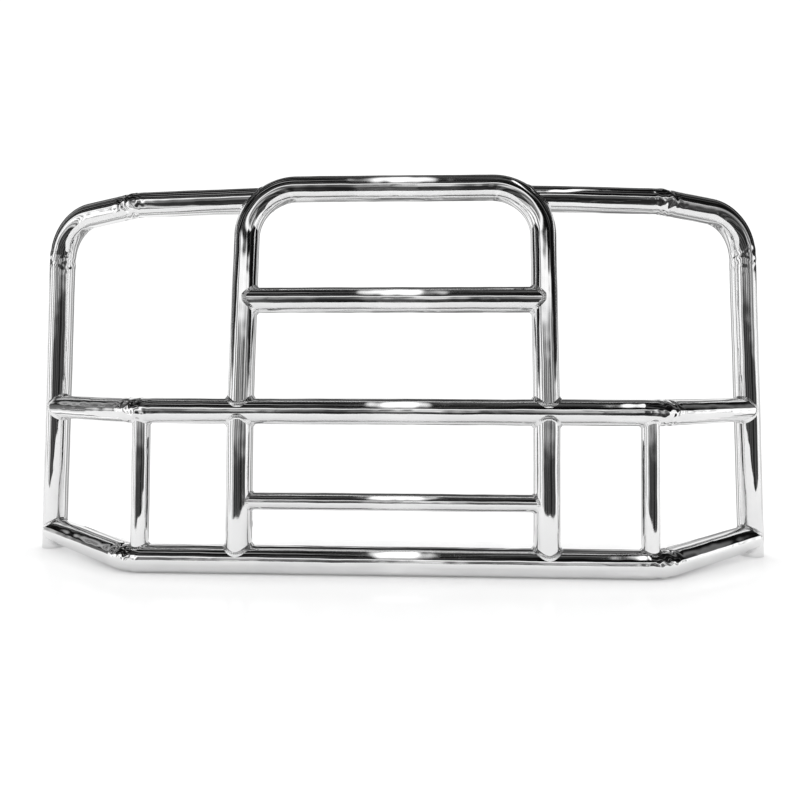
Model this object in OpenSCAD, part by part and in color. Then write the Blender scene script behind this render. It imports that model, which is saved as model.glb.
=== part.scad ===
/* [Tubes] */
// Outside diameter of the hoop, legs, mid rail and wings
tube_d = 76.2; // [70:0.1:80]
// Outside diameter of the bottom rail
bottom_tube_d = 82.6; // [78:0.1:90]
// Outside diameter of the lower crossbar and the wing stubs
small_tube_d = 50.8; // [42:0.1:60]
// Wall thickness of every tube
wall = 2.5; // [1.5:0.1:4]
// Centre-line radius of every bend
bend_r = 152; // [130:1:170]

/* [Centre section] */
// Distance between the centre lines of the two legs
leg_spacing = 900; // [860:1:940]
// Height of the mid rail's centre line
mid_rail_z = 476.5; // [440:0.5:520]
// Height of the hoop's top centre line
hoop_top_z = 1158; // [1120:1:1200]
// How far the top of the hoop leans back from the mid rail
hoop_lean = 78.7; // [40:0.1:110]
// How far the bottom rail sits in front of the mid rail
bottom_rail_forward = 11.3; // [0:0.1:20]
// Place of the upper crossbar between the mid rail and the hoop top
upper_bar_fraction = 0.49; // [0.4:0.01:0.6]
// Place of the lower crossbar between the bottom rail and the mid rail
lower_bar_fraction = 0.393; // [0.3:0.001:0.5]

/* [Wings] */
// Distance of the outer post's foot from the centre
foot_x = 1183.4; // [1150:0.1:1220]
// How far the outer post's foot sits behind the mid rail
foot_back = 288.2; // [260:0.1:310]
// Distance of the post's top corner from the centre
corner_x = 1110; // [1090:1:1130]
// How far the post's top corner sits behind the mid rail
corner_back = 212.7; // [190:0.1:240]
// Height of the post's top corner
corner_z = 1101.5; // [1080:0.5:1110]
// Height of the top wing rail at the hoop
wing_rail_z = 1125; // [1110:1:1130]
// Distance of the top wing rail's bend from the centre
top_knuckle_x = 814.5; // [790:0.5:840]
// How far the top wing rail's bend sits behind the mid rail
top_knuckle_back = 117.5; // [95:0.5:135]
// Distance of the mid rail's bend from the centre
mid_knuckle_x = 763; // [740:1:790]
// Distance of the bottom rail's bend from the centre
bottom_knuckle_x = 778; // [755:1:800]
// Height at which the mid rail meets the outer post
mid_end_z = 484; // [470:1:500]
// Height at which the bottom rail meets the outer post
bottom_end_z = 60; // [50:1:75]
// Distance of the wing stub from the centre
stub_x = 746.5; // [725:0.5:760]
// Thickness of the cap that closes the post's foot
foot_cap_t = 5; // [3:0.5:10]

/* [Mounting] */
// Thickness of the guard plates and the frame brackets
plate_t = 10; // [8:0.5:12]
// Distance of the guard plate's inner face from the centre
plate_x = 462; // [458:1:466]
// How far the tilt pivot sits behind the mid rail
pivot_back = 105; // [100:1:110]
// Height of the tilt pivot
pivot_z = 120; // [118:1:130]
// How far the lock bolt sits behind the mid rail
lock_back = 85; // [82:1:90]
// Height of the lock bolt
lock_z = 340; // [320:1:350]
// Diameter of the pivot bolt
pivot_d = 20; // [16:1:22]
// Diameter of the lock bolt
lock_d = 16; // [12:1:18]
// Diameter of the four holes for the truck's frame bolts
frame_hole_d = 17.5; // [13:0.5:20]
// Spacing of the frame bolt holes, front to back
frame_hole_dy = 45; // [40:1:50]
// Spacing of the frame bolt holes, up and down
frame_hole_dz = 120; // [100:1:130]
// How far the middle of the frame bolt holes sits behind the mid rail
frame_hole_back = 172.5; // [168:0.5:176]
// Height of the middle of the frame bolt holes
frame_hole_z = 240; // [232:1:250]

/* [Hidden] */
$fn = 96;

left = -1;
right = 1;
tube_r = tube_d / 2;
bottom_r = bottom_tube_d / 2;
small_r = small_tube_d / 2;
leg_x = leg_spacing / 2;

// Gap left for the weld's root at each coped end, and the over-run of each cut
root_gap = 0.4;
over = 1;
// How far straight runs lap into the bends, and how much thinner the bends are
lap = 0.6;
hair = 0.02;
// Gaps of the moving bracket: at the pivot's shank, and at its side faces
run_gap = 0.05;
side_gap = 0.4;
// Space between the guard plate and the frame bracket, and the notch's room for its bolt
plate_gap = 2;
notch_gap = 0.6;

// The outer post is straight from its foot, on the floor, to its top corner
post_lean_x = (foot_x - corner_x) / corner_z;
post_lean_y = (foot_back - corner_back) / corner_z;

// Whole guard moved forward, so that its box is centred on the origin
front_y = -bottom_rail_forward - bottom_r;
rear_y = foot_back + tube_r / cos(atan(post_lean_y));
shift_y = -(front_y + rear_y) / 2;

// Point of the outer post's centre line at a height
function post_at(z) = [foot_x - post_lean_x * z, shift_y + foot_back - post_lean_y * z, z];

// Centre-line points of the right-hand half
bottom_leg = [leg_x, shift_y - bottom_rail_forward, bottom_r];
mid_leg = [leg_x, shift_y, mid_rail_z];
hoop_corner = [leg_x, shift_y + hoop_lean, hoop_top_z];
bottom_knuckle = [bottom_knuckle_x, bottom_leg.y, bottom_r];
mid_knuckle = [mid_knuckle_x, shift_y, mid_rail_z];
wing_start = [leg_x - bend_r / 2, shift_y + hoop_lean, wing_rail_z];
top_knuckle = [top_knuckle_x, shift_y + top_knuckle_back, wing_rail_z];
wing_corner = post_at(corner_z);
pivot_at = [plate_x, shift_y + pivot_back, pivot_z];
lock_at = [plate_x, shift_y + lock_back, lock_z];

// Where the plates and the bolts stand, outwards from the guard plate's inner face
bracket_x = plate_x + plate_t + plate_gap;
bracket_end_x = bracket_x + plate_t;
washer_t = 3;

// Hardware: width across flats, head, nut, washer, and how far the shank shows past the plate
pivot_flats = 30;
pivot_head_t = 12.5;
pivot_nut_t = 14;
pivot_washer_d = 37;
pivot_tail = 19;
lock_flats = 24;
lock_head_t = 10;
lock_nut_t = 12;
lock_washer_d = 30;
lock_tail = 17;

function flip(p, side) = [side * p.x, p.y, p.z];
function between(a, b, t) = a + (b - a) * t;
function unit(v) = v / norm(v);

// ---- Tube making ----

// Round bar between two points, with some over-run at each end
module rod(a, b, r, extra = 0) {
    d = b - a;
    along = norm(d);
    translate(a)
        rotate([0, acos(d.z / along), atan2(d.y, d.x)])
            translate([0, 0, -extra])
                cylinder(r = r, h = along + 2 * extra);
}

// How much of each straight run a bend at point p takes up
function bend_angle(a, p, b) = acos(unit(p - a) * unit(b - p));
function bend_trim(a, p, b) = bend_r * tan(bend_angle(a, p, b) / 2);

// Round bend at point p, between the runs from a and to b
module bend(a, p, b, r) {
    run_in = unit(p - a);
    normal = unit(cross(run_in, unit(b - p)));
    inward = cross(normal, run_in);
    centre = p - run_in * bend_trim(a, p, b) + inward * bend_r;
    multmatrix([
        [-inward.x, run_in.x, normal.x, centre.x],
        [-inward.y, run_in.y, normal.y, centre.y],
        [-inward.z, run_in.z, normal.z, centre.z],
        [0, 0, 0, 1]
    ])
        rotate_extrude(angle = bend_angle(a, p, b))
            translate([bend_r, 0])
                circle(r = r);
}

// Bar of radius r that follows the points, with a round bend at each inner one. The runs
// lap into the bends, which are a hair thinner, so that no two surfaces lie on each other.
module bent_bar(path, r, extra = 0) {
    last = len(path) - 1;
    trims = [for (i = [0:last])
        i == 0 || i == last ? -extra : bend_trim(path[i - 1], path[i], path[i + 1]) - lap];
    for (i = [0:last - 1]) {
        run = unit(path[i + 1] - path[i]);
        rod(path[i] + run * trims[i], path[i + 1] - run * trims[i + 1], r);
    }
    for (i = [1:last - 1])
        bend(path[i - 1], path[i], path[i + 1], r - hair);
}

module bent_tube(path, r) {
    difference() {
        bent_bar(path, r);
        bent_bar(path, r - wall, over);
    }
}

module straight_tube(a, b, r) {
    difference() {
        rod(a, b, r);
        rod(a, b, r - wall, over);
    }
}

// ---- Centre-line paths ----

hoop_path = [flip(mid_leg, left), flip(hoop_corner, left), hoop_corner, mid_leg];
mid_path = [
    flip(post_at(mid_end_z), left), flip(mid_knuckle, left),
    mid_knuckle, post_at(mid_end_z)
];
bottom_path = [
    flip(post_at(bottom_end_z), left), flip(bottom_knuckle, left),
    bottom_knuckle, post_at(bottom_end_z)
];
function wing_path(side) = [
    flip(wing_start, side), flip(top_knuckle, side),
    flip(wing_corner, side), flip(post_at(0), side)
];

module post_cut(side, r) {
    rod(flip(post_at(-bend_r), side), flip(post_at(corner_z - bend_r), side), r);
}

// ---- Welded tube frame ----

module centre_hoop() {
    color("silver") difference() {
        bent_tube(hoop_path, tube_r);
        rod(flip(mid_leg, left), mid_leg, tube_r + root_gap, bend_r);
    }
}

module mid_rail() {
    color("silver") difference() {
        bent_tube(mid_path, tube_r);
        post_cut(left, tube_r + root_gap);
        post_cut(right, tube_r + root_gap);
    }
}

module bottom_rail() {
    color("silver") difference() {
        bent_tube(bottom_path, bottom_r);
        post_cut(left, tube_r + root_gap);
        post_cut(right, tube_r + root_gap);
    }
}

module upper_crossbar() {
    bar_end = between(mid_leg, hoop_corner, upper_bar_fraction);
    color("silver") difference() {
        straight_tube(flip(bar_end, left), bar_end, tube_r);
        for (side = [left, right])
            rod(flip(mid_leg, side), flip(hoop_corner, side), tube_r + root_gap);
    }
}

module lower_crossbar() {
    bar_end = between(bottom_leg, mid_leg, lower_bar_fraction);
    color("silver") difference() {
        straight_tube(flip(bar_end, left), bar_end, small_r);
        for (side = [left, right])
            rod(flip(bottom_leg, side), flip(mid_leg, side), tube_r + root_gap);
    }
}

// Upright between the bottom rail and the mid rail, coped at both ends
module coped_upright(low, high, r) {
    color("silver") difference() {
        straight_tube(low, high, r);
        rod([-low.x, low.y, low.z], low, bottom_r + root_gap, bend_r);
        rod([-high.x, high.y, high.z], high, tube_r + root_gap, bend_r);
    }
}

module lower_leg(side) {
    coped_upright(flip(bottom_leg, side), flip(mid_leg, side), tube_r);
}

// The stub stands where the rails are still straight on their inner side
module wing_stub(side) {
    low = [side * stub_x, bottom_leg.y, bottom_leg.z];
    high = [side * stub_x, mid_leg.y, mid_leg.z];
    color("silver") difference() {
        straight_tube(low, high, small_r);
        bent_bar(bottom_path, bottom_r + root_gap);
        bent_bar(mid_path, tube_r + root_gap);
    }
}

// Top wing rail, rounded corner and outer post, bent from one length
module wing_tube(side) {
    color("silver") difference() {
        bent_tube(wing_path(side), tube_r);
        bent_bar(hoop_path, tube_r + root_gap);
        translate([side * foot_x, 0, -bend_r / 2])
            cube([bend_r, 4 * bend_r, bend_r], center = true);
    }
}

// Disc inside the post's foot, with its underside on the floor and room for the post's lean
module foot_cap(side) {
    color("silver") translate(flip(post_at(0), side))
        cylinder(r = tube_r - wall - 2 * root_gap, h = foot_cap_t);
}

// ---- Tilt mounting behind each lower leg ----

// Flat plate of a side-view outline, given as distance behind the mid rail and height
module side_plate(side, x, outline) {
    translate([side * (x + plate_t / 2), shift_y, 0])
        rotate([90, 0, 90])
            translate([0, 0, -plate_t / 2])
                linear_extrude(plate_t)
                    polygon(outline);
}

// Bar across the plates, from x to x + length on its own side
module cross_pin(side, at, x, length, r, sides = $fn) {
    translate([side * (x + length / 2), at.y, at.z])
        rotate([0, 90, 0])
            cylinder(r = r, h = length, center = true, $fn = sides);
}

function hex_r(across_flats) = across_flats / 2 / cos(30);

// Plate welded to the back of the lower leg, drilled for the pivot and the lock bolt
module guard_plate(side) {
    outline = [
        [0, 92], [112, 78], [134, 92], [134, 150],
        [112, 180], [112, 355], [98, 372], [0, 372]
    ];
    color("silver") difference() {
        side_plate(side, plate_x, outline);
        rod(flip(bottom_leg, side), flip(mid_leg, side), tube_r + root_gap);
        rod(flip(bottom_leg, left), bottom_leg, bottom_r + root_gap, bend_r);
        cross_pin(side, pivot_at, plate_x - over, plate_t + 2 * over, pivot_d / 2 + run_gap);
        cross_pin(side, lock_at, plate_x - over, plate_t + 2 * over, lock_d / 2 + run_gap);
    }
}

// Plate that bolts to the truck's frame: a pivot bore, an arc notch that lets the lock
// bolt out forwards, and four frame bolt holes
module frame_bracket(side) {
    outline = [
        [64, 96], [84, 76], [128, 74], [215, 164],
        [215, 340], [180, 385], [76, 385], [64, 373]
    ];
    frame_centre = [side * bracket_x, shift_y + frame_hole_back, frame_hole_z];
    notch_r = norm(lock_at - pivot_at);
    notch_half = lock_d / 2 + notch_gap;
    hole_x = bracket_x - over;
    hole_length = plate_t + 2 * over;
    color("dimgray") difference() {
        side_plate(side, bracket_x, outline);
        cross_pin(side, pivot_at, hole_x, hole_length, pivot_d / 2 + run_gap);
        cross_pin(side, lock_at, hole_x, hole_length, notch_half);
        intersection() {
            difference() {
                cross_pin(side, pivot_at, hole_x, hole_length, notch_r + notch_half);
                cross_pin(side, pivot_at, hole_x - over, hole_length + 2 * over, notch_r - notch_half);
            }
            translate([side * (hole_x + hole_length / 2), lock_at.y - 2 * lock_d, lock_z])
                cube([2 * hole_length, 4 * lock_d, 6 * lock_d], center = true);
        }
        for (dy = [-0.5, 0.5], dz = [-0.5, 0.5])
            cross_pin(
                side, frame_centre + [0, dy * frame_hole_dy, dz * frame_hole_dz],
                hole_x, hole_length, frame_hole_d / 2
            );
    }
}

// Bolt with a hexagon head outside the bracket and its shank's end inside the guard plate
module plate_bolts(at, d, head_flats, head_t, tail) {
    head_x = bracket_end_x + side_gap + washer_t;
    color("gainsboro") for (side = [left, right]) {
        cross_pin(side, at, head_x, head_t, hex_r(head_flats), 6);
        cross_pin(side, at, plate_x - tail, head_x - plate_x + tail, d / 2);
    }
}

module plate_nuts(at, d, flats, nut_t) {
    color("gainsboro") for (side = [left, right]) difference() {
        cross_pin(side, at, plate_x - washer_t - nut_t, nut_t, hex_r(flats), 6);
        cross_pin(side, at, plate_x - washer_t - nut_t - over, nut_t + 2 * over, d / 2);
    }
}

// Washers under the nut, between the plates, and under the head
module plate_washers(at, d, washer_d) {
    gaps = [
        [plate_x - washer_t, washer_t],
        [plate_x + plate_t, plate_gap - side_gap],
        [bracket_end_x + side_gap, washer_t]
    ];
    color("gainsboro") for (side = [left, right], gap = gaps) difference() {
        cross_pin(side, at, gap[0], gap[1], washer_d / 2);
        cross_pin(side, at, gap[0] - over, gap[1] + 2 * over, d / 2);
    }
}

module pivot_bolts() { plate_bolts(pivot_at, pivot_d, pivot_flats, pivot_head_t, pivot_tail); }
module pivot_nuts() { plate_nuts(pivot_at, pivot_d, pivot_flats, pivot_nut_t); }
module pivot_washers() { plate_washers(pivot_at, pivot_d, pivot_washer_d); }
module lock_bolts() { plate_bolts(lock_at, lock_d, lock_flats, lock_head_t, lock_tail); }
module lock_nuts() { plate_nuts(lock_at, lock_d, lock_flats, lock_nut_t); }
module lock_washers() { plate_washers(lock_at, lock_d, lock_washer_d); }

centre_hoop();
mid_rail();
bottom_rail();
upper_crossbar();
lower_crossbar();
lower_leg(left);  // left_lower_leg
lower_leg(right);  // right_lower_leg
wing_tube(left);  // left_wing_tube
wing_tube(right);  // right_wing_tube
wing_stub(left);  // left_wing_stub
wing_stub(right);  // right_wing_stub
foot_cap(left);  // left_foot_cap
foot_cap(right);  // right_foot_cap
guard_plate(left);  // left_guard_plate
guard_plate(right);  // right_guard_plate
frame_bracket(left);  // left_frame_bracket
frame_bracket(right);  // right_frame_bracket
pivot_bolts();
pivot_nuts();
pivot_washers();
lock_bolts();
lock_nuts();
lock_washers();
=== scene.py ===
"""Front grille guard: polished bent tubes with weld beads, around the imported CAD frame."""
import math

import bpy
import numpy as np
from mathutils import Matrix


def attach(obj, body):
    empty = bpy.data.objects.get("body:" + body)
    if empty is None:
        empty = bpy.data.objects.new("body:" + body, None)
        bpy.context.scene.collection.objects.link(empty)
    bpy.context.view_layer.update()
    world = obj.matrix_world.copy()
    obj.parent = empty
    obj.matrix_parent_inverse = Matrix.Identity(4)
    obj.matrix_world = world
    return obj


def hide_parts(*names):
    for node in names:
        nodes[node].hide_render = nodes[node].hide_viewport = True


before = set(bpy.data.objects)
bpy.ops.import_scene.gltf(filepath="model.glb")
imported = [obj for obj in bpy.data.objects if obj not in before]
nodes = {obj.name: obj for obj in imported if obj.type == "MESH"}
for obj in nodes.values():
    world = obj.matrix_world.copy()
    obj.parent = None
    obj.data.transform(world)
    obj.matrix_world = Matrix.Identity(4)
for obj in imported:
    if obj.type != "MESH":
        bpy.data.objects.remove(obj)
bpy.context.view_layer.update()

# ---- Centre lines, in metres, as the CAD has them (right-hand side; left is mirrored) ----

# How far the whole guard is moved back or forward, so that the frame's origin is its middle
SHIFT_Y = -0.1368947
TUBE_R, BOTTOM_R, SMALL_R = 0.0381, 0.0413, 0.0254
TUBE_WALL = 0.0025
BEND_R = 0.152
LEG_X, STUB_X = 0.450, 0.7465
BOTTOM_Y = SHIFT_Y - 0.0113
MID_Z = 0.4765
FOOT = np.array([1.1834, SHIFT_Y + 0.2882, 0.0])
CORNER = np.array([1.110, SHIFT_Y + 0.2127, 1.1015])
POST_SLOPE = (CORNER - FOOT) / CORNER[2]
# How far up the hoop's legs and the lower legs the crossbars sit, as a share
UPPER_BAR, LOWER_BAR = 0.49, 0.393


def post_at(z):
    """The outer post's centre at a height."""
    return FOOT + POST_SLOPE * z


def flip(p, side):
    """The point on the right (side 1) or mirrored to the left (side -1)."""
    return np.array([side * p[0], p[1], p[2]])


def both(points):
    """The left-hand mirror of the points, outermost first, then the points themselves."""
    return [flip(p, -1) for p in reversed(points)] + list(points)


bottom_leg = np.array([LEG_X, BOTTOM_Y, BOTTOM_R])
mid_leg = np.array([LEG_X, SHIFT_Y, MID_Z])
hoop_corner = np.array([LEG_X, SHIFT_Y + 0.0787, 1.158])
wing_start = np.array([LEG_X - BEND_R / 2, hoop_corner[1], 1.125])
top_knuckle = np.array([0.8145, SHIFT_Y + 0.1175, 1.125])
mid_knuckle = np.array([0.763, SHIFT_Y, MID_Z])
bottom_knuckle = np.array([0.778, BOTTOM_Y, BOTTOM_R])


def unit(v):
    """The vectors v, scaled to length 1."""
    return v / np.linalg.norm(v, axis=-1, keepdims=True)


def turned(v, axis, angle):
    """Vectors v turned about a unit axis by an array of angles."""
    c, s = np.cos(angle)[:, None], np.sin(angle)[:, None]
    return v * c + np.cross(axis, v) * s + axis * (v @ axis)[..., None] * (1 - c)


# Steps along and round the tube over which the skin's slope is measured
SLOPE_STEP, SLOPE_TURN = 0.0005, 0.01
# Wave length along the tube, waves round it and height, in metres
WAVES = (
    (0.61, 1, 0.00016), (0.37, 2, 0.00012), (0.23, -1, 0.00009), (0.31, 3, 0.00007),
    (0.157, -2, 0.00010), (0.093, 3, 0.00005), (0.067, -2, 0.00004), (0.19, 5, 0.00003),
    (0.049, 3, 0.00002),
)
DIE_MARKS = (
    (0.050, -3, 0.00050), (0.040, 4, 0.00045), (0.033, -5, 0.00038), (0.030, 2, 0.00036),
    (0.026, 7, 0.00024), (0.022, -8, 0.00018), (0.018, 10, 0.00010),
)
# How far along the tube a die mark spreads
DIE_REACH = 0.033


class Line:
    """A tube's centre line: straight runs joined by round bends, with a frame carried along it."""

    def __init__(self, points, r, seed, marks=()):
        self.r, self.seed, self.marks = r, seed, marks
        self.runs, self.bends = [], []
        at, s = points[0], 0.0
        run = unit(points[1] - points[0])
        side = unit(np.cross(run, [0.0, 0.0, 1.0] if abs(run[2]) < 0.9 else [1.0, 0.0, 0.0]))
        for i in range(1, len(points)):
            last = i == len(points) - 1
            nxt = run if last else unit(points[i + 1] - points[i])
            angle = 0.0 if last else math.acos(float(run @ nxt))
            end = points[i] - run * BEND_R * math.tan(angle / 2)
            length = float(np.linalg.norm(end - at))
            self.runs.append((s, length, at, run, side, None))
            s += length
            if not last:
                axis = unit(np.cross(run, nxt))
                self.runs.append((s, BEND_R * angle, end, run, side, axis))
                self.bends.append((s, s + BEND_R * angle))
                s += BEND_R * angle
                side = turned(side[None], axis, np.array([angle]))[0]
                at = points[i] + nxt * BEND_R * math.tan(angle / 2)
                run = nxt
        self.length = s

    def frame_at(self, s):
        """Centre, tangent, two side vectors and the inward curvature vector at the places s."""
        s = np.asarray(s, float)
        out = [np.zeros(s.shape + (3,)) for _ in range(5)]
        for k, (s0, length, at, run, side, axis) in enumerate(self.runs):
            here = np.ones(s.shape, bool)
            if k:
                here &= s >= s0
            if k < len(self.runs) - 1:
                here &= s < s0 + length
            d = (s[here] - s0)[:, None]
            if axis is None:
                c, t, n1 = at + d * run, run + 0 * d, side + 0 * d
                bend = 0 * d * run
            else:
                inward = np.cross(axis, run)
                a = d[:, 0] / BEND_R
                c = at + BEND_R * (inward * (1 - np.cos(a))[:, None] + run * np.sin(a)[:, None])
                t, n1 = turned(run[None], axis, a), turned(side[None], axis, a)
                bend = turned(inward[None], axis, a) / BEND_R
            for o, v in zip(out, (c, t, n1, np.cross(t, n1), bend)):
                o[here] = v
        return out

    def swell(self, s, phi):
        """How far the polished surface stands off the true circle: long waves all along, and
        the marks that the bending dies leave at each bend."""
        rng = np.random.default_rng(self.seed)
        h = np.zeros(np.broadcast(s, phi).shape)
        for wave, m, size in WAVES:
            h += size * np.cos(2 * np.pi * s / wave + m * phi + rng.uniform(0, 2 * np.pi))
        for bend, share, depth in self.marks:
            b0, b1 = self.bends[bend]
            near = depth * np.exp(-(((s - b0 - share * (b1 - b0)) / DIE_REACH) ** 2))
            for wave, m, size in DIE_MARKS:
                lag = rng.uniform(0, 2 * np.pi)
                h += near * size * np.cos(2 * np.pi * s / wave + m * phi + lag)
        return h

    def surface(self, s, phi, inside=0.0, smooth=False):
        """Points and outward normals of the tube's skin."""
        c, t, n1, n2, bend = self.frame_at(s)
        out = n1 * np.cos(phi)[..., None] + n2 * np.sin(phi)[..., None]
        if inside or smooth:
            return c + out * (self.r - inside), out
        round_by = n2 * np.cos(phi)[..., None] - n1 * np.sin(phi)[..., None]
        ds, dp = SLOPE_STEP, SLOPE_TURN
        h = self.swell(s, phi)
        along = (self.swell(s + ds, phi) - self.swell(s - ds, phi)) / (2 * ds)
        across = (self.swell(s, phi + dp) - self.swell(s, phi - dp)) / (2 * dp)
        stretch = 1 - self.r * np.sum(out * bend, -1)
        normal = unit(out - t * (along / stretch)[..., None] - round_by * (across / self.r)[..., None])
        return c + out * (self.r + h)[..., None], normal

    def points(self, step=0.004):
        """Points along the centre line, about a step apart."""
        s = np.linspace(0.0, self.length, max(2, int(self.length / step)))
        return self.frame_at(s)[0]


# ---- Meshes ----

# Steeper edges than this stay sharp on a piece without normals of its own
SHARP_DEGREES = 50


def make_mesh(name, verts, quads, normals=None):
    """A new object of quads, none of it under the floor. normals, where given, holds one for
    each corner of each quad."""
    verts, quads = np.array(verts, np.float32), np.asarray(quads, np.int32)
    verts[:, 2] = np.maximum(verts[:, 2], 0.0)
    mesh = bpy.data.meshes.new(name)
    mesh.vertices.add(len(verts))
    mesh.vertices.foreach_set("co", verts.ravel())
    mesh.loops.add(quads.size)
    mesh.loops.foreach_set("vertex_index", quads.ravel())
    mesh.polygons.add(len(quads))
    mesh.polygons.foreach_set("loop_start", np.arange(0, quads.size, 4, dtype=np.int32))
    mesh.update(calc_edges=True)
    mesh.validate()
    mesh.polygons.foreach_set("use_smooth", np.ones(len(quads), bool))
    if normals is None:
        mesh.set_sharp_from_angle(angle=math.radians(SHARP_DEGREES))
    else:
        mesh.normals_split_custom_set(np.asarray(normals, np.float32).reshape(-1, 3).tolist())
    mesh.update()
    made = bpy.data.objects.new(name, mesh)
    bpy.context.scene.collection.objects.link(made)
    return made


def grid_quads(rows, cols, start=0):
    """Quads of a grid whose columns close round."""
    i, j = np.meshgrid(np.arange(rows - 1), np.arange(cols), indexing="ij")
    k = (j + 1) % cols
    corners = [i * cols + j, i * cols + k, (i + 1) * cols + k, (i + 1) * cols + j]
    return np.stack(corners, -1).reshape(-1, 4) + start


def dress(obj, body, slot_name, material, *stands_for):
    """Gives a new piece its material and body, and hides the CAD nodes that it stands for. slot_name
    is not used.
    """
    obj.data.materials.append(material)
    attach(obj, body)
    if stands_for:
        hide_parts(*stands_for)


REACH_FROM, REACH_STEPS = 0.16, 321


def reach(trunk_points, trunk_r, origin, rays, along):
    """For each ray, start origin + ray and direction along, how far out it meets the trunk."""
    steps = np.linspace(REACH_FROM, 0.0, REACH_STEPS)
    found = np.zeros(len(rays))
    for i, ray in enumerate(rays):
        p = origin + ray + steps[:, None] * along
        gap = np.linalg.norm(p[:, None] - trunk_points[None], axis=-1).min(-1) - trunk_r
        inside = np.nonzero(gap < 0)[0]
        if len(inside) and inside[0]:
            k = inside[0]
            f = gap[k - 1] / (gap[k - 1] - gap[k])
            found[i] = steps[k - 1] + f * (steps[k] - steps[k - 1])
    return found


# How deep a coped end sinks into its trunk, and how much of the trunk's line is looked at
SINK, NEAR_TRUNK = 0.0006, 0.30
# Length of the rings between a cope's tips and the first flat ring, and how they're spaced
COPE_MARGIN, COPE_SPACING = 0.010, 0.8


class Cope:
    """Where one end of a branch tube meets its trunk, or the floor if it has none."""

    def __init__(self, branch, at_end, phi, trunk=None, tip=0.0):
        self.branch, self.at_end = branch, at_end
        s_end = branch.length if at_end else 0.0
        centre, tangent, n1, n2, _ = (v[0] for v in branch.frame_at(np.array([s_end])))
        self.along = -tangent if at_end else tangent
        rays = branch.r * (np.cos(phi)[:, None] * n1 + np.sin(phi)[:, None] * n2)
        if trunk is None:
            self.depth = -(centre[2] + rays[:, 2]) / self.along[2]
            return
        near = trunk.points()
        self.near = near[np.linalg.norm(near - centre, axis=-1) < NEAR_TRUNK]
        self.depth = np.hypot(reach(self.near, trunk.r - SINK, centre, rays, self.along), tip)

    def stations(self, inward):
        """Places along the branch of the cope's edge, then rings that turn it into a flat ring."""
        flat = self.depth.max() + COPE_MARGIN
        share = np.linspace(0, 1, inward)[:, None] ** COPE_SPACING
        depth = self.depth[None] * (1 - share) + flat * share
        return (self.branch.length - depth) if self.at_end else depth, flat


# Spacing of a tube's rings on straight runs and near bends, how near is near, and the least
# room before the last ring
STRAIGHT_STEP, BEND_STEP = 0.009, 0.0035
BEND_MARGIN, LAST_STEP = 0.06, 0.004
# Rings from a cope's edge to the first flat one. The bore has one ring for every few outside.
COPE_RINGS, BORE_EVERY = 6, 4


def tube_rings(line, start_flat, end_flat):
    """Places of the flat rings: wide apart on straight runs, close together by the bends."""
    s, at = [], start_flat
    stop = line.length - end_flat
    while at < stop - LAST_STEP:
        near = any(b0 - BEND_MARGIN < at < b1 + BEND_MARGIN for b0, b1 in line.bends)
        at += BEND_STEP if near else STRAIGHT_STEP
        s.append(min(at, stop))
    return np.array(s[:-1])


def tube(name, line, segments, start_trunk, end_trunk, tip):
    """A hollow tube whose two skins are joined at its coped or cut ends."""
    phi = np.arange(segments) * 2 * np.pi / segments
    first = Cope(line, False, phi, start_trunk, tip)
    final = Cope(line, True, phi, end_trunk, tip)
    head, head_flat = first.stations(COPE_RINGS)
    tail, tail_flat = final.stations(COPE_RINGS)
    flat = tube_rings(line, head_flat, tail_flat)
    s = np.vstack([head, np.repeat(flat[:, None], segments, 1), tail[::-1]])
    turn = np.broadcast_to(phi, s.shape)
    skin, normal = line.surface(s.ravel(), turn.ravel())
    head_end, tail_start = COPE_RINGS - 1, len(s) - COPE_RINGS
    keep = sorted({0, head_end, tail_start, len(s) - 1, *range(head_end, tail_start, BORE_EVERY)})
    bore, bore_out = line.surface(s[keep].ravel(), turn[keep].ravel(), inside=TUBE_WALL)
    rows, bore_rows = len(s), len(keep)
    outer = grid_quads(rows, segments)
    inner = grid_quads(bore_rows, segments, rows * segments)[:, ::-1]
    j = np.arange(segments)
    k = (j + 1) % segments
    lines = rows * segments
    last, bore_last = (rows - 1) * segments, lines + (bore_rows - 1) * segments
    start_rim = np.stack([k, j, lines + j, lines + k], -1)
    end_rim = np.stack([last + j, last + k, bore_last + k, bore_last + j], -1)
    tiny = 1e-12
    rim_normals = []
    for rim in (start_rim, end_rim):
        verts = np.vstack([skin, bore])[rim]
        n = unit(np.cross(verts[:, 2] - verts[:, 0], verts[:, 3] - verts[:, 1]) + tiny)
        rim_normals.append(np.repeat(n[:, None], 4, 1))
    normals = np.vstack([
        normal[outer], -bore_out[inner - lines], rim_normals[0], rim_normals[1],
    ])
    quads = np.vstack([outer, inner, start_rim, end_rim])
    return make_mesh(name, np.vstack([skin, bore]), quads, normals)


# ---- Weld beads ----

BEAD_LEG, BEAD_CROWN, BEAD_ROOT = 0.0078, 0.0031, 0.0042
# A bead on a tube of less than this radius has a shorter leg
THIN_TUBE_R, THIN_TUBE_LEG = 0.03, 0.8
# How deep a bead's toes lie in the tubes, and the spacing of its points
TOE_SINK, BEAD_STEP = 0.0004, 0.0016
# A coped joint is about this much longer than the way round its tube
COPE_STRETCH = 1.25
BEAD_PROFILE_POINTS = 10
RIPPLE, RIPPLE_PITCH = 0.00022, 0.0052
# How far the ripples' arcs trail behind at the toes, and how sharp they are
RIPPLE_TRAIL, RIPPLE_SHARP = 5.0, 0.6


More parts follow.
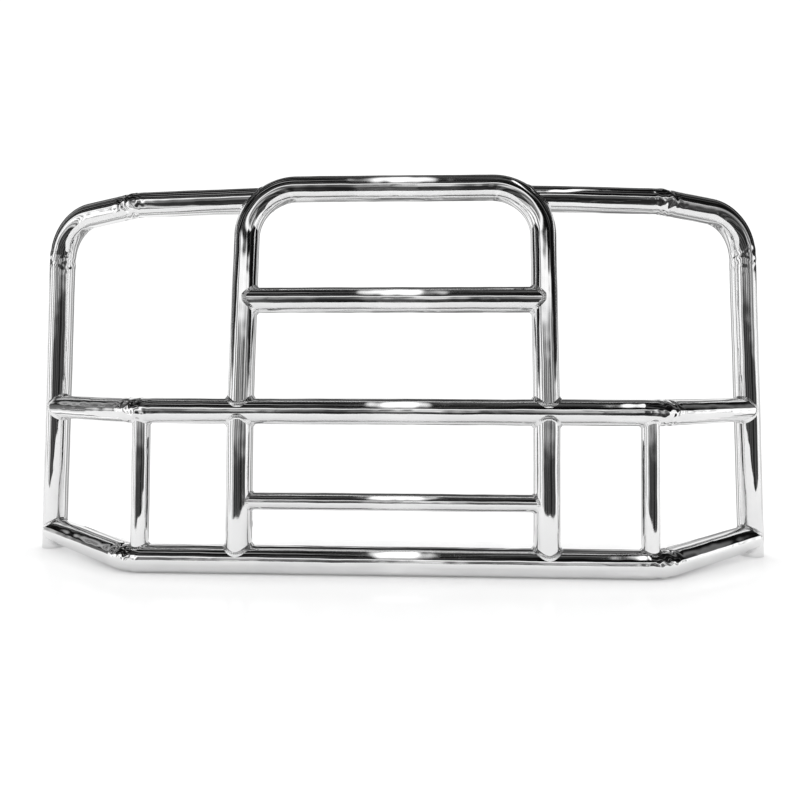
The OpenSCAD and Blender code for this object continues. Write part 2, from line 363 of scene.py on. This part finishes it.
def bead_mesh(name, a, root, b, crown_out):
    """A closed fillet bead between the toes a and b, over the root line, with the ripples of a
    weld run. a, root and b hold a point for each place along the weld."""
    v = np.linspace(0, 1, BEAD_PROFILE_POINTS)
    peak = root + BEAD_CROWN * crown_out
    step = np.linalg.norm(np.roll(root, -1, 0) - root, axis=-1)
    run = np.concatenate([[0], np.cumsum(step[:-1])])
    total = run[-1] + step[-1]
    count = max(8, round(total / RIPPLE_PITCH))
    phase = run / total * count * 2 * np.pi
    rows = []
    for t in v:
        p = (1 - t) ** 2 * a + 2 * t * (1 - t) * peak + t ** 2 * b
        beat = 0.5 + 0.5 * np.cos(phase + RIPPLE_TRAIL * (t - 0.5) ** 2)
        lift = RIPPLE * math.sin(math.pi * t) * (beat ** RIPPLE_SHARP * 2 - 1)
        rows.append(p + lift[:, None] * crown_out)
    rows.append(root - BEAD_ROOT * crown_out)
    grid = np.stack(rows, 1)
    n, m = grid.shape[:2]
    i, j = np.meshgrid(np.arange(n), np.arange(m), indexing="ij")
    i2, j2 = (i + 1) % n, (j + 1) % m
    quads = np.stack([i * m + j, i * m + j2, i2 * m + j2, i2 * m + j], -1).reshape(-1, 4)
    return make_mesh(name, grid.reshape(-1, 3), quads)


def facing(a, root, b, out):
    """The toes a and b, swapped where the bead between them would face inwards."""
    tangent = np.roll(root, -2, 0) - np.roll(root, 2, 0)
    inwards = float(np.mean(np.sum(np.cross(tangent, b - a) * out, -1))) > 0
    return (b, a) if inwards else (a, b)


def from_axis(points, line):
    """From the nearest places on a line of points, square to it, to each of the points."""
    axis = unit(np.gradient(line, axis=0))
    at = np.linalg.norm(points[:, None] - line[None], axis=-1).argmin(-1)
    away = points - line[at]
    return away - axis[at] * np.sum(away * axis[at], -1, keepdims=True)


def joint_bead(name, branch, at_end, trunk, tip):
    """The bead all round a coped joint."""
    around = 2 * np.pi * branch.r
    count = int(around * COPE_STRETCH / BEAD_STEP)
    phi = np.arange(count) * 2 * np.pi / count
    cope = Cope(branch, at_end, phi, trunk, tip)
    s = branch.length - cope.depth if at_end else cope.depth
    root, n1 = branch.surface(s, phi, smooth=True)
    n2 = unit(from_axis(root, cope.near))
    tangent = unit(np.roll(root, -2, 0) - np.roll(root, 2, 0))
    u2 = unit(np.cross(tangent, n2))
    u2 *= np.sign(np.sum(u2 * (n1 - cope.along), -1, keepdims=True))
    out = unit(n1 + n2)
    leg = BEAD_LEG * (1.0 if branch.r > THIN_TUBE_R else THIN_TUBE_LEG)
    a = root + leg * cope.along - TOE_SINK * n1
    b = root + leg * u2
    off = from_axis(b, cope.near)
    b = b - off + unit(off) * (trunk.r - TOE_SINK)
    a, b = facing(a, root, b, out)
    return bead_mesh(name, a, root, b, out)


# ---- Procedural materials ----


# The range that holds most of a noise texture's values
NOISE_LOW, NOISE_HIGH = 0.3, 0.7


def new_material(name):
    """A new material, its node tree and its shader."""
    material = bpy.data.materials.new(name)
    material.use_nodes = True
    tree = material.node_tree
    return material, tree, tree.nodes["Principled BSDF"]


def noise(tree, scale, detail=3.0, stretch=(1, 1, 1), rough=0.5):
    """Object-space noise, stretched along an axis."""
    coords = tree.nodes.new("ShaderNodeTexCoord")
    place = tree.nodes.new("ShaderNodeMapping")
    place.inputs["Scale"].default_value = stretch
    made = tree.nodes.new("ShaderNodeTexNoise")
    made.inputs["Scale"].default_value = scale
    made.inputs["Detail"].default_value = detail
    made.inputs["Roughness"].default_value = rough
    tree.links.new(coords.outputs["Object"], place.inputs["Vector"])
    tree.links.new(place.outputs["Vector"], made.inputs["Vector"])
    return made.outputs["Fac"]


def ramp(tree, value, low_colour, high_colour, low=NOISE_LOW, high=NOISE_HIGH):
    """One colour where the value is low, another where it's high."""
    made = tree.nodes.new("ShaderNodeValToRGB")
    for stop, at, colour in zip(made.color_ramp.elements, (low, high), (low_colour, high_colour)):
        stop.position = at
        stop.color = (*colour, 1)
    tree.links.new(value, made.inputs["Fac"])
    return made.outputs["Color"]


def spread(tree, value, low, high):
    """The value, 0 to 1, spread from low to high."""
    made = tree.nodes.new("ShaderNodeMapRange")
    made.inputs["From Min"].default_value = NOISE_LOW
    made.inputs["From Max"].default_value = NOISE_HIGH
    made.inputs["To Min"].default_value = low
    made.inputs["To Max"].default_value = high
    tree.links.new(value, made.inputs["Value"])
    return made.outputs["Result"]


def bump(tree, value, strength, distance):
    """The surface's normal, bumped by the value."""
    made = tree.nodes.new("ShaderNodeBump")
    made.inputs["Strength"].default_value = strength
    made.inputs["Distance"].default_value = distance
    tree.links.new(value, made.inputs["Height"])
    return made.outputs["Normal"]


def grey(level):
    """A grey of the level."""
    return (level, level, level)


# How much more blue than red the darker steel has
COOLER = 1.005


def polished(name, low, high, rough_low, rough_high, marks):
    """Mirror-polished stainless tube, with faint polishing marks and uneven gloss."""
    material, tree, shader = new_material(name)
    shader.inputs["Metallic"].default_value = 1.0
    tint = ramp(tree, noise(tree, 9.0, 4.0), (low, low, low * COOLER), grey(high))
    tree.links.new(tint, shader.inputs["Base Color"])
    gloss = spread(tree, noise(tree, 26.0, 5.0, rough=0.6), rough_low, rough_high)
    tree.links.new(gloss, shader.inputs["Roughness"])
    fine = bump(tree, noise(tree, 420.0, 2.0), marks, 0.0002)
    tree.links.new(fine, shader.inputs["Normal"])
    return material


def satin_steel(name):
    """Stainless plate with a grained finish."""
    material, tree, shader = new_material(name)
    shader.inputs["Metallic"].default_value = 1.0
    grain = noise(tree, 60.0, 6.0, (40, 1, 1), 0.7)
    tint = ramp(tree, grain, grey(0.46), grey(0.68), 0.25, 0.75)
    tree.links.new(tint, shader.inputs["Base Color"])
    tree.links.new(spread(tree, grain, 0.22, 0.40), shader.inputs["Roughness"])
    tree.links.new(bump(tree, grain, 0.25, 0.0003), shader.inputs["Normal"])
    return material


def powder_coat(name):
    """Black powder coat: orange-peel skin, with small changes of shade."""
    material, tree, shader = new_material(name)
    shade = ramp(tree, noise(tree, 14.0, 5.0), grey(0.012), grey(0.026))
    tree.links.new(shade, shader.inputs["Base Color"])
    peel = noise(tree, 700.0, 2.0)
    tree.links.new(spread(tree, noise(tree, 30.0), 0.30, 0.46), shader.inputs["Roughness"])
    tree.links.new(bump(tree, peel, 0.35, 0.0006), shader.inputs["Normal"])
    return material


def zinc(name):
    """Zinc-plated hardware: cool, slightly clouded metal."""
    material, tree, shader = new_material(name)
    shader.inputs["Metallic"].default_value = 1.0
    cloud = noise(tree, 120.0, 5.0, rough=0.65)
    tint = ramp(tree, cloud, (0.50, 0.52, 0.55), (0.70, 0.71, 0.72))
    tree.links.new(tint, shader.inputs["Base Color"])
    tree.links.new(spread(tree, cloud, 0.20, 0.38), shader.inputs["Roughness"])
    tree.links.new(bump(tree, cloud, 0.12, 0.0003), shader.inputs["Normal"])
    return material


chrome = polished("polished_tube", 0.86, 0.91, 0.025, 0.075, 0.05)
bead_metal = polished("polished_weld", 0.88, 0.95, 0.16, 0.32, 0.15)
plate_steel = satin_steel("guard_plate")
coat = powder_coat("bracket_coat")
plating = zinc("zinc_hardware")

# ---- The tubes ----

# Heights at which the rails meet the outer posts
MID_ON_POST, BOTTOM_ON_POST = 0.484, 0.060
# Die marks: the bend that has them, how far round it they lie, and their strength
MID_MARKS = ((0, 0.5, 1.0), (1, 0.85, 1.0))
BOTTOM_MARKS = ((0, 0.5, 1.0), (1, 0.5, 1.0))
WING_MARKS = ((0, 0.85, 1.0), (1, 1.0, 0.6))

hoop = Line([flip(mid_leg, -1), flip(hoop_corner, -1), hoop_corner, mid_leg], TUBE_R, 11)
mid = Line(both([mid_knuckle, post_at(MID_ON_POST)]), TUBE_R, 12, MID_MARKS)
bottom = Line(both([bottom_knuckle, post_at(BOTTOM_ON_POST)]), BOTTOM_R, 13, BOTTOM_MARKS)
bar_end = mid_leg + (hoop_corner - mid_leg) * UPPER_BAR
upper_bar = Line([flip(bar_end, -1), bar_end], TUBE_R, 14)
low_end = bottom_leg + (mid_leg - bottom_leg) * LOWER_BAR
lower_bar = Line([flip(low_end, -1), low_end], SMALL_R, 15)
wings, legs, stubs = {}, {}, {}
for side, hand, seed in ((-1, "left", 21), (1, "right", 41)):
    wing_points = [flip(p, side) for p in (wing_start, top_knuckle, CORNER, FOOT)]
    wings[hand] = Line(wing_points, TUBE_R, seed, WING_MARKS)
    legs[hand] = Line([flip(bottom_leg, side), flip(mid_leg, side)], TUBE_R, seed + 1)
    stub_points = [[side * STUB_X, BOTTOM_Y, BOTTOM_R], [side * STUB_X, SHIFT_Y, MID_Z]]
    stubs[hand] = Line([np.array(p) for p in stub_points], SMALL_R, seed + 2)

MAIN_FACETS, SMALL_FACETS = 92, 64

# Node, centre line, facets round, trunk at each end, how far the cope's tips are rounded off
tubes = [
    ("centre_hoop", hoop, MAIN_FACETS, mid, mid, 0.017),
    ("mid_rail", mid, MAIN_FACETS, wings["left"], wings["right"], 0.008),
    ("bottom_rail", bottom, MAIN_FACETS, wings["left"], wings["right"], 0.006),
    ("upper_crossbar", upper_bar, MAIN_FACETS, hoop, hoop, 0.009),
    ("lower_crossbar", lower_bar, SMALL_FACETS, legs["left"], legs["right"], 0.004),
]
for hand in ("left", "right"):
    tubes += [
        (hand + "_lower_leg", legs[hand], MAIN_FACETS, bottom, mid, 0.016),
        (hand + "_wing_tube", wings[hand], MAIN_FACETS, hoop, None, 0.006),
        (hand + "_wing_stub", stubs[hand], SMALL_FACETS, bottom, mid, 0.004),
    ]
for node, line, segments, start_trunk, end_trunk, tip in tubes:
    made = tube(node + "_polished", line, segments, start_trunk, end_trunk, tip)
    dress(made, "guard", "polished_tube", chrome, node)
    for at_end, trunk, tag in ((False, start_trunk, "_a"), (True, end_trunk, "_b")):
        if trunk is not None:
            bead = joint_bead(node + "_weld" + tag, line, at_end, trunk, tip)
            dress(bead, "guard", "polished_tube", bead_metal)

# ---- The welds that hold the guard plates to the backs of the lower legs ----

PLATE_FACES = (0.462, 0.472)
PLATE_LOW, PLATE_HIGH = 0.0875, 0.372
PLATE_BEAD_LEG, PLATE_BEAD_CROWN = 0.0055, 0.0024
PLATE_BEAD_POINTS = 480
# Points on each rounded end of the bead's path, and how far it reaches for the plate's width
PLATE_END_POINTS, PLATE_END_REACH = 24, 0.9


def plate_bead(name, line, side):
    """A bead up one face of the guard plate, over its top end and down the other face."""
    x_near, x_far = PLATE_FACES
    half, middle = (x_far - x_near) / 2, (x_far + x_near) / 2
    corner = half * PLATE_END_REACH
    path = []
    for cx, cz, start in ((middle, PLATE_HIGH - corner, 0.0), (middle, PLATE_LOW + corner, math.pi)):
        for t in np.linspace(start, start + math.pi, PLATE_END_POINTS):
            path.append((cx + half * math.cos(t), cz + corner * math.sin(t)))
    path = np.array(path + [path[0]])
    run = np.concatenate([[0], np.cumsum(np.linalg.norm(np.diff(path, axis=0), axis=-1))])
    at = np.linspace(0, run[-1], PLATE_BEAD_POINTS + 1)[:-1]
    x, z = (np.interp(at, run, path[:, k]) for k in (0, 1))
    inner_z = np.clip(z, PLATE_LOW + corner, PLATE_HIGH - corner)
    outward = unit(np.stack([x - middle, z - inner_z], -1))

    def on_leg(px, pz):
        """Points on the back of the leg at px and pz, and the leg's outward normals there."""
        share = (pz - bottom_leg[2]) / (mid_leg[2] - bottom_leg[2])
        centre_y = bottom_leg[1] + share * (mid_leg[1] - bottom_leg[1])
        across = px - LEG_X
        depth = np.sqrt(line.r ** 2 - across ** 2)
        point = np.stack([side * px, centre_y + depth, pz], -1)
        normal = np.stack([side * across, depth, 0 * pz], -1) / line.r
        return point, normal

    root, leg_out = on_leg(x, z)
    toe, _ = on_leg(x + outward[:, 0] * PLATE_BEAD_LEG, z + outward[:, 1] * PLATE_BEAD_LEG)
    plate_out = np.stack([side * outward[:, 0], 0 * x, outward[:, 1]], -1)
    top = root + np.array([0.0, PLATE_BEAD_LEG, 0.0])
    out = unit(plate_out + leg_out)
    bead_out = out * (PLATE_BEAD_CROWN / BEAD_CROWN)
    a, b = facing(top, root, toe, out)
    return bead_mesh(name, a, root, b, bead_out)


for side, hand in ((-1, "left"), (1, "right")):
    bead = plate_bead(hand + "_guard_plate_weld", legs[hand], side)
    dress(bead, "guard", "polished_tube", bead_metal)

# ---- CAD nodes that keep their shape: softened edges and their own finish ----

# Distances in metres: points closer than MERGE_WITHIN are one, edges are rounded by the others
MERGE_WITHIN, PLATE_ROUNDING, HARDWARE_ROUNDING = 0.00002, 0.0012, 0.0006
SHARP_FROM_DEGREES = 40

FINISH = {
    "foot_cap": chrome, "guard_plate": plate_steel, "frame_bracket": coat,
    "bolts": plating, "nuts": plating, "washers": plating,
}
for name, obj in nodes.items():
    finish = next((m for key, m in FINISH.items() if name.endswith(key)), None)
    if finish is None:
        continue
    obj.data.materials.clear()
    obj.data.materials.append(finish)
    join = obj.modifiers.new("join", "WELD")
    join.merge_threshold = MERGE_WITHIN
    soften = obj.modifiers.new("soften", "BEVEL")
    flat_plate = "plate" in name or "bracket" in name
    soften.width = PLATE_ROUNDING if flat_plate else HARDWARE_ROUNDING
    soften.segments = 3
    soften.limit_method = "ANGLE"
    soften.angle_limit = math.radians(SHARP_FROM_DEGREES)
    soften.harden_normals = True

# ---- Floor, world and camera ----


def flat_floor(name, outline, material):
    """The studio's floor, at height 0."""
    mesh = bpy.data.meshes.new(name)
    mesh.from_pydata([(x, y, 0.0) for x, y in outline], [], [tuple(range(len(outline)))])
    mesh.materials.append(material)
    made = bpy.data.objects.new(name, mesh)
    bpy.context.scene.collection.objects.link(made)
    return made


# The floor's own glow, what it adds in the camera's eye, and its share and blur of mirror image
FLOOR_GLOW, FLOOR_SEEN_GLOW = 0.03, 0.15
FLOOR_SHINE, FLOOR_BLUR = 0.09, 0.10


def pale_floor(name):
    """Near-white matt floor with a trace of shine."""
    material, tree, shader = new_material(name)
    tint = ramp(tree, noise(tree, 1.2), grey(0.94), grey(0.96))
    tree.links.new(tint, shader.inputs["Base Color"])
    shader.inputs["Roughness"].default_value = 1.0
    shader.inputs["Specular IOR Level"].default_value = 0.0
    shader.inputs["Emission Color"].default_value = (1, 1, 1, 1)
    path = tree.nodes.new("ShaderNodeLightPath")
    glow = tree.nodes.new("ShaderNodeMath")
    glow.operation = "MULTIPLY_ADD"
    glow.inputs[1].default_value = FLOOR_SEEN_GLOW
    glow.inputs[2].default_value = FLOOR_GLOW
    tree.links.new(path.outputs["Is Camera Ray"], glow.inputs[0])
    tree.links.new(glow.outputs[0], shader.inputs["Emission Strength"])
    gloss = tree.nodes.new("ShaderNodeBsdfGlossy")
    gloss.inputs["Roughness"].default_value = FLOOR_BLUR
    blend = tree.nodes.new("ShaderNodeMixShader")
    blend.inputs[0].default_value = FLOOR_SHINE
    tree.links.new(shader.outputs[0], blend.inputs[1])
    tree.links.new(gloss.outputs[0], blend.inputs[2])
    tree.links.new(blend.outputs[0], tree.nodes["Material Output"].inputs["Surface"])
    return material


# Cut away in front of the outer posts, where the polish shows the floor's edge
FLOOR = (
    (-5.0, -0.65), (-1.6, -0.65), (-0.80, -1.50), (0.80, -1.50), (1.6, -0.65), (5.0, -0.65),
    (5.0, 0.30), (-5.0, 0.30),
)
flat_floor("studio_floor", FLOOR, pale_floor("studio_floor"))


class Sky:
    """Small helper that writes sums on the world's direction as Math nodes."""

    def __init__(self, tree):
        self.tree = tree

    def op(self, kind, a, b=None, c=None, clamp=False):
        made = self.tree.nodes.new("ShaderNodeMath")
        made.operation, made.use_clamp = kind, clamp
        for slot_, value in zip(made.inputs, (a, b, c)):
            if value is None:
                continue
            if isinstance(value, (int, float)):
                slot_.default_value = value
            else:
                self.tree.links.new(value, slot_)
        return made.outputs[0]

    def step(self, value, low, high):
        """0 below low, 1 above high, smooth between."""
        made = self.tree.nodes.new("ShaderNodeMapRange")
        made.interpolation_type = "SMOOTHSTEP"
        made.inputs["From Min"].default_value = low
        made.inputs["From Max"].default_value = high
        self.tree.links.new(value, made.inputs["Value"])
        return made.outputs["Result"]

    def window(self, value, low, high, soft):
        """1 between low and high, 0 outside, smooth at both ends."""
        rise = self.step(value, low - soft, low + soft)
        fall = self.step(value, high - soft, high + soft)
        return self.op("MULTIPLY", rise, self.op("SUBTRACT", 1.0, fall))

    def mix(self, factor, a, b):
        """a where the factor is 0, b where it is 1."""
        span = self.op("SUBTRACT", b, a)
        return self.op("MULTIPLY_ADD", factor, span, a)


world = bpy.data.worlds.new("studio")
bpy.context.scene.world = world
world.use_nodes = True
wt = world.node_tree
sky = Sky(wt)
where = wt.nodes.new("ShaderNodeTexCoord")
split = wt.nodes.new("ShaderNodeSeparateXYZ")
wt.links.new(where.outputs["Generated"], split.inputs[0])
wx, wy, wz = split.outputs
DEG = 180 / math.pi
front = sky.op("MULTIPLY", wy, -1.0)
# Turn round the left-right axis: 0 is the front horizon, 90 overhead, 180 behind
tip = sky.op("MULTIPLY", sky.op("ARCTAN2", wz, front), DEG)
# Turn round the upright axis: 0 is the front, positive to the right
turn = sky.op("MULTIPLY", sky.op("ARCTAN2", wx, front), DEG)
rise = sky.op("MULTIPLY", sky.op("ARCSINE", wz), DEG)


def sky_noise(across, up, detail):
    """Noise on two sums of the direction."""
    at = wt.nodes.new("ShaderNodeCombineXYZ")
    wt.links.new(across, at.inputs[0])
    wt.links.new(up, at.inputs[1])
    made = wt.nodes.new("ShaderNodeTexNoise")
    made.inputs["Scale"].default_value = 1.0
    made.inputs["Detail"].default_value = detail
    wt.links.new(at.outputs[0], made.inputs["Vector"])
    return made.outputs["Fac"]


def scaled(value, factor):
    return sky.op("MULTIPLY", value, factor)


def lamp(at_x, half_x, at_tip, half_tip, core, rim):
    """1 in the middle of an oval lamp on the ceiling, 0 outside it, smooth from core to rim."""
    across = sky.op("POWER", scaled(sky.op("SUBTRACT", wx, at_x), 1 / half_x), 2.0)
    along = sky.op("POWER", scaled(sky.op("SUBTRACT", tip, at_tip), 1 / half_tip), 2.0)
    return sky.op("SUBTRACT", 1.0, sky.step(sky.op("ADD", across, along), core, rim))


# Sectors of the studio, in degrees of turn. The last number is how soft a sector's edges are.
around = sky.op("ABSOLUTE", turn)
beside = sky.window(around, 58, 130, 12)
behind = sky.step(around, 128, 142)
in_front = sky.window(turn, -38, 69, 4)

# Dark ceiling with long streaks, brighter on the left than on the right
CEILING_LEVEL, STREAK_RIGHT, STREAK_LEFT = 0.004, 0.26, 0.55
streaks = sky_noise(scaled(wx, 1.6), scaled(tip, 0.11), 5.0)
left_side = sky.step(scaled(wx, -1.0), -0.2, 0.5)
streak_level = sky.mix(left_side, STREAK_RIGHT, STREAK_LEFT)
ceiling = sky.mix(sky.step(streaks, 0.50, 0.72), CEILING_LEVEL, streak_level)
# Lamps: middle and half width across, middle and half length in tip, core, rim and brightness
LAMPS = (
    (-0.034, 0.060, 67, 40, -0.10, 1.20, 1.7),
    (0.33, 0.035, 66, 24, 0.15, 1.15, 1.5),
)
for *shape, brightness in LAMPS:
    ceiling = sky.mix(lamp(*shape), ceiling, brightness)
# A faint band behind the top of the ceiling
BAND_SHARE, BAND_LEVEL = 0.28, 0.5
ceiling = sky.mix(scaled(sky.window(tip, 108, 118, 4), BAND_SHARE), ceiling, BAND_LEVEL)

# Walls: pale, with dark uprights. Each stop is a turn in degrees and a level.
STUDIO_WALL = (
    (-180, 0.25), (-148, 0.80), (-138, 0.30), (-125, 0.95), (-106, 0.85), (-97, 0.10),
    (-90, 1.0), (-78, 1.0), (-71, 0.05), (-63, 1.0), (-53, 1.0), (-45, 0.06), (-37, 1.0),
    (-31, 0.10), (-16, 0.30), (-8, 0.05), (0, 0.55), (6, 0.08), (15, 0.40),
    (21, 0.04), (34, 0.10), (41, 0.60), (48, 0.10), (60, 0.28), (72, 1.0),
    (98, 0.95), (104, 0.10), (112, 0.85), (137, 0.20), (146, 0.80), (156, 0.25),
)
WALL_WHITE = 1.3
# The uprights stray from straight by up to about this many degrees
WOBBLE = 9.0
stray = sky_noise(scaled(turn, 0.05), scaled(rise, 0.12), 3.0)
wobble = scaled(sky.op("SUBTRACT", stray, 0.5), WOBBLE)
wall_at = sky.op("MULTIPLY_ADD", sky.op("ADD", turn, wobble), 1 / 360, 0.5)
wall_ramp = wt.nodes.new("ShaderNodeValToRGB")
stops = wall_ramp.color_ramp
stops.interpolation = "EASE"
stops.elements[1].color = (*grey(STUDIO_WALL[0][1]), 1)
for k, (degrees, level) in enumerate(STUDIO_WALL):
    stop = stops.elements[0] if k == 0 else stops.elements.new(degrees / 360 + 0.5)
    stop.color = (*grey(level), 1)
wt.links.new(wall_at, wall_ramp.inputs["Fac"])
# Thin slats over the wall: some dim, some lit
DIM_SHARE, DIM_LEVEL = 0.80, 0.10
LIT_SHARE, LIT_LEVEL = 0.55, 1.1
slat_at = sky.op("ADD", scaled(turn, 0.34), scaled(wobble, 0.1))
slats = sky_noise(slat_at, scaled(rise, 0.025), 2.0)
dim = scaled(sky.step(slats, 0.53, 0.60), DIM_SHARE)
lit = scaled(sky.op("SUBTRACT", 1.0, sky.step(slats, 0.36, 0.42)), LIT_SHARE)
wall = scaled(wall_ramp.outputs["Color"], WALL_WHITE)
wall = sky.mix(lit, sky.mix(dim, wall, DIM_LEVEL), LIT_LEVEL)
# In front the wall is whiter high up, and nearly black below the horizon
HIGH_WHITENING, LOW_DIMMING = 0.8, 0.18
high_front = sky.op("MULTIPLY", in_front, scaled(sky.step(rise, 17, 23), HIGH_WHITENING))
wall = sky.mix(high_front, wall, WALL_WHITE)
low_front = sky.op("MULTIPLY", in_front, sky.op("SUBTRACT", 1.0, sky.step(rise, -3, 1)))
wall = sky.mix(low_front, wall, scaled(wall, LOW_DIMMING))

# Height of the wall's top, in degrees of rise, in each sector
TOP_ELSEWHERE, TOP_BEHIND, TOP_IN_FRONT, TOP_FRONT_RIGHT, TOP_BESIDE = 27.0, 38.0, 26.0, 23.0, 9.0
TOP_SOFT = 1.5
wall_top = sky.mix(behind, TOP_ELSEWHERE, TOP_BEHIND)
wall_top = sky.mix(sky.window(turn, -19, 13, 4), wall_top, TOP_IN_FRONT)
wall_top = sky.mix(sky.window(turn, 24, 70, 6), wall_top, TOP_FRONT_RIGHT)
wall_top = sky.mix(beside, wall_top, TOP_BESIDE)
over = sky.step(sky.op("SUBTRACT", rise, wall_top), -TOP_SOFT, TOP_SOFT)
studio = sky.mix(over, wall, ceiling)

# The camera and the matt surfaces get plain white; only the polish shows the studio
PLAIN_LEVEL = 1.10
light_path = wt.nodes.new("ShaderNodeLightPath")
plain = sky.op("MAXIMUM", light_path.outputs["Is Camera Ray"], light_path.outputs["Is Diffuse Ray"])
background = wt.nodes["Background"]
wt.links.new(sky.mix(plain, studio, PLAIN_LEVEL), background.inputs["Strength"])
background.inputs["Color"].default_value = (1, 1, 1, 1)

scene = bpy.context.scene
scene.view_settings.view_transform = "Standard"

# Place in metres, turn and roll in radians, lens and sensor in millimetres
CAMERA_AT = (0.0884, -1.9557, 0.5111)
YAW, ROLL = 0.036, 0.004
LENS, SENSOR = 27.9315, 36.0
camera_data = bpy.data.cameras.new("camera")
camera_data.sensor_width = SENSOR
camera_data.lens = LENS
camera_data.clip_start, camera_data.clip_end = 0.05, 50
camera = bpy.data.objects.new("camera", camera_data)
scene.collection.objects.link(camera)
right = unit(np.array([math.cos(YAW), math.sin(YAW), ROLL]))
forward = np.array([-math.sin(YAW), math.cos(YAW), 0.0])
basis = np.column_stack([right, np.cross(right, forward), -forward])
camera.matrix_world = Matrix.Translation(CAMERA_AT) @ Matrix(basis.tolist()).to_4x4()
scene.camera = camera
